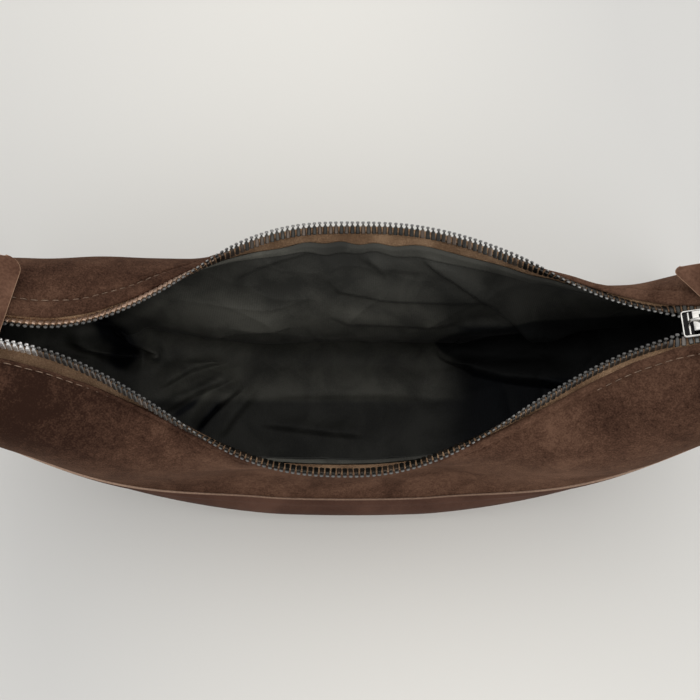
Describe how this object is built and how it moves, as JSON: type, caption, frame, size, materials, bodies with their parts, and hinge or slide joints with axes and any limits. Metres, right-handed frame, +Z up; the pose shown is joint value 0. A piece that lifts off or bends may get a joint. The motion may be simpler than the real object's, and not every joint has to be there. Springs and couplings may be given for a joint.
{
  "type": "crescent shoulder bag",
  "caption": "Soft suede crescent shoulder bag with an open zip along its curved top, a lined compartment, strap tabs with rings and a flat strap.",
  "frame": {"origin": "middle of the flat underside of the bag", "axes": "+X along the bag, towards the end where the open zip's slider rests; +Y from the front to the back; +Z up"},
  "size_m": [0.4564, 0.1532, 0.1852],
  "materials": {
    "suede": "napped dark brown suede",
    "smooth_leather": "smooth dark brown leather",
    "strap_leather": "dark brown suede leather",
    "lining": "black woven lining",
    "zip_tape": "tan brown twill tape",
    "zip_metal": "dark polished nickel",
    "bright_metal": "bright nickel",
    "board": "grey stiffening board"
  },
  "bodies": {
    "bag": {"front_panel": "suede", "back_panel": "suede", "gusset": "smooth_leather", "base_board": "board", "lining_front": "lining", "lining_back": "lining", "lining_base": "lining", "slip_pocket": "lining", "zip_tape_front": "zip_tape", "zip_tape_back": "zip_tape", "zip_end_left": "zip_tape", "zip_end_right": "zip_tape", "teeth_front": "zip_metal", "teeth_back": "zip_metal", "top_stop_front": "zip_metal", "top_stop_back": "zip_metal", "bottom_stop": "zip_metal", "strap_tab_left": "strap_leather", "strap_tab_right": "strap_leather", "tab_under_left": "strap_leather", "tab_under_right": "strap_leather"},
    "slider": {"slider_body": "bright_metal", "slider_bail": "bright_metal"},
    "pull": {"pull_tab": "bright_metal"},
    "strap": {"strap": "strap_leather", "ring_left": "bright_metal", "ring_right": "bright_metal", "tab_loop_left": "strap_leather", "tab_loop_right": "strap_leather"}
  },
  "joints": [
    {"name": "slider_travel", "type": "hinge", "parent": "bag", "child": "slider", "pos_m": [-0.00241, 0.00162, 0.53796], "axis": [-0.0118, 0.9999, 0], "range_deg": [0, 43.49], "deforming": ["zip_tape_front", "zip_tape_back", "teeth_front", "teeth_back"]},
    {"name": "pull_swing", "type": "hinge", "parent": "slider", "child": "pull", "pos_m": [0.15379, 0.00346, 0.17596], "axis": [0.0118, -0.9999, 0], "range_deg": [0, 170]},
    {"name": "strap_swing", "type": "hinge", "parent": "bag", "child": "strap", "pos_m": [0, 0.0075, 0.17726], "axis": [1, 0, 0], "range_deg": [0, 180]}
  ]
}
